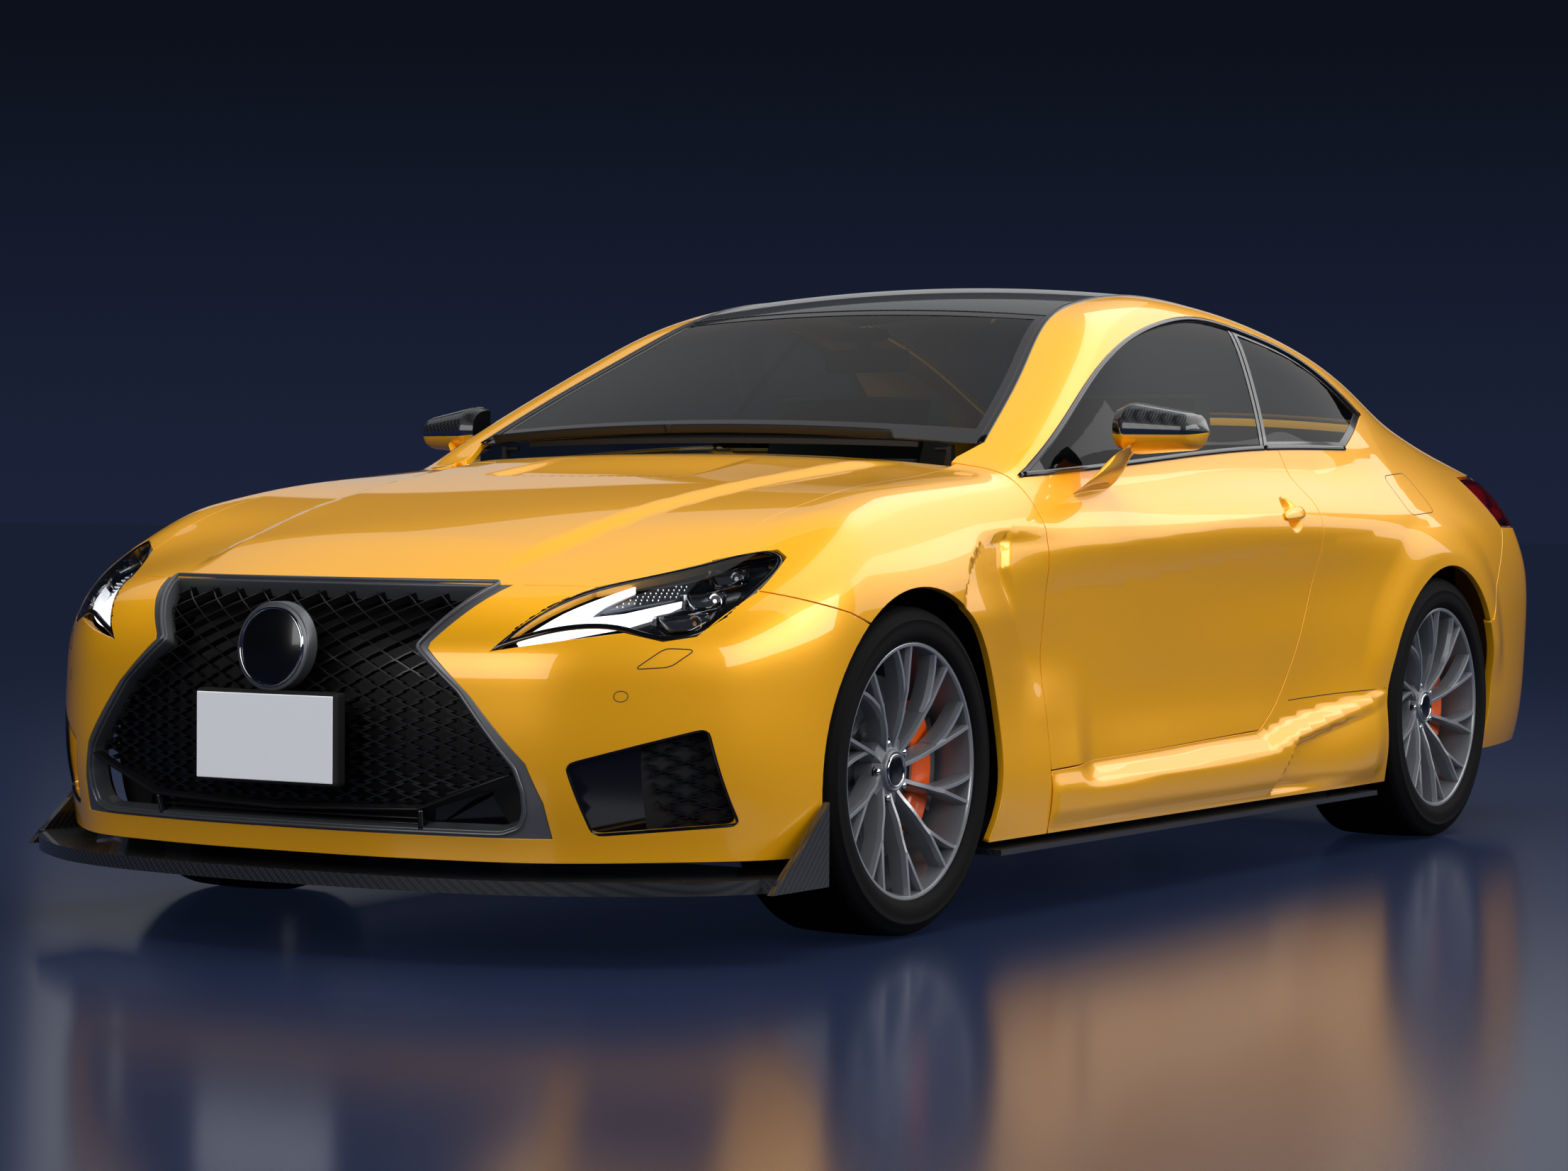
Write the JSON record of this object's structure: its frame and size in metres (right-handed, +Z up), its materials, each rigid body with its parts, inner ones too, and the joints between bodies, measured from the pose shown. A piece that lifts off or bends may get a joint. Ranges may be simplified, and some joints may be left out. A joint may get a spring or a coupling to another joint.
{
  "type": "coupe car",
  "caption": "Two-door fastback coupe with opening doors, hood and trunk lid, steered front wheels, spindle-shaped grille, carbon-look roof and front splitter.",
  "frame": {"origin": "centre of the car's bounding box at the ground", "axes": "+X forward along the car, +Y to its left, +Z up"},
  "size_m": [4.6951, 2.1146, 1.3908],
  "materials": {
    "paint": "golden yellow metallic, clear coated",
    "carbon": "clear coated carbon weave",
    "black_trim": "gloss black",
    "dark_metal": "black electrocoat",
    "cast": "cast and machined",
    "alloy": "machined face over dark paint",
    "tyre": "black rubber",
    "glass": "tinted",
    "lamp": "clear lens",
    "tail_lamp": "red lens",
    "cabin": "black leather",
    "cabin_plastic": "soft black plastic",
    "steel": "brushed"
  },
  "bodies": {
    "body": {"floor_pan": "dark_metal", "front_structure": "dark_metal", "rear_structure": "dark_metal", "front_fender_left": "paint", "front_fender_right": "paint", "body_side_left": "paint", "body_side_right": "paint", "front_bumper": "paint", "rear_bumper": "paint", "grille": "black_trim", "front_splitter": "carbon", "headlamps": "lamp", "tail_lamps": "tail_lamp", "windshield": "glass", "rear_window": "glass", "roof_panel": "carbon", "quarter_glass": "glass", "cowl": "black_trim", "side_skirts": "carbon", "rear_diffuser": "carbon", "exhaust": "steel", "dashboard": "cabin_plastic", "front_seats": "cabin", "rear_seat": "cabin", "steering_wheel": "cabin", "engine_block": "cast", "front_subframe": "dark_metal", "rear_subframe": "dark_metal", "rear_knuckles": "cast"},
    "hood": {"hood": "paint"},
    "trunk_lid": {"trunk_lid": "paint"},
    "door_left": {"door_left": "paint", "door_glass_left": "glass", "mirror_left": "carbon"},
    "door_right": {"door_right": "paint", "door_glass_right": "glass", "mirror_right": "carbon"},
    "knuckle_front_left": {"knuckle_front_left": "cast"},
    "knuckle_front_right": {"knuckle_front_right": "cast"},
    "wheel_front_left": {"tyre_front_left": "tyre", "rim_front_left": "alloy"},
    "wheel_front_right": {"tyre_front_right": "tyre", "rim_front_right": "alloy"},
    "wheel_rear_left": {"tyre_rear_left": "tyre", "rim_rear_left": "alloy"},
    "wheel_rear_right": {"tyre_rear_right": "tyre", "rim_rear_right": "alloy"}
  },
  "joints": [
    {"name": "hood_hinge", "type": "hinge", "parent": "body", "child": "hood", "pos_m": [0.74507, 0, 0.97995], "axis": [0, -1, 0], "range_deg": [0, 45]},
    {"name": "trunk_hinge", "type": "hinge", "parent": "body", "child": "trunk_lid", "pos_m": [-1.46992, 0, 0.98495], "axis": [0, 1, 0], "range_deg": [0, 70]},
    {"name": "door_left_hinge", "type": "hinge", "parent": "body", "child": "door_left", "pos_m": [0.75309, 0.872, 0.56], "axis": [0, 0, -1], "range_deg": [0, 65]},
    {"name": "door_right_hinge", "type": "hinge", "parent": "body", "child": "door_right", "pos_m": [0.75309, -0.872, 0.56], "axis": [0, 0, 1], "range_deg": [0, 65]},
    {"name": "steer_left", "type": "hinge", "parent": "body", "child": "knuckle_front_left", "pos_m": [1.42996, 0.735, 0.3305], "axis": [0, 0, 1], "range_deg": [-33, 33]},
    {"name": "steer_right", "type": "hinge", "parent": "body", "child": "knuckle_front_right", "pos_m": [1.42996, -0.735, 0.3305], "axis": [0, 0, 1], "range_deg": [-33, 33]},
    {"name": "spin_front_left", "type": "hinge", "parent": "knuckle_front_left", "child": "wheel_front_left", "pos_m": [1.42996, 0.78, 0.3305], "axis": [0, 1, 0], "continuous": true},
    {"name": "spin_front_right", "type": "hinge", "parent": "knuckle_front_right", "child": "wheel_front_right", "pos_m": [1.42996, -0.78, 0.3305], "axis": [0, 1, 0], "continuous": true},
    {"name": "spin_rear_left", "type": "hinge", "parent": "body", "child": "wheel_rear_left", "pos_m": [-1.29996, 0.78, 0.3375], "axis": [0, 1, 0], "continuous": true},
    {"name": "spin_rear_right", "type": "hinge", "parent": "body", "child": "wheel_rear_right", "pos_m": [-1.29996, -0.78, 0.3375], "axis": [0, 1, 0], "continuous": true}
  ],
  "couplings": [
    {"joint": "steer_right", "follows": "steer_left", "ratio": 1}
  ]
}
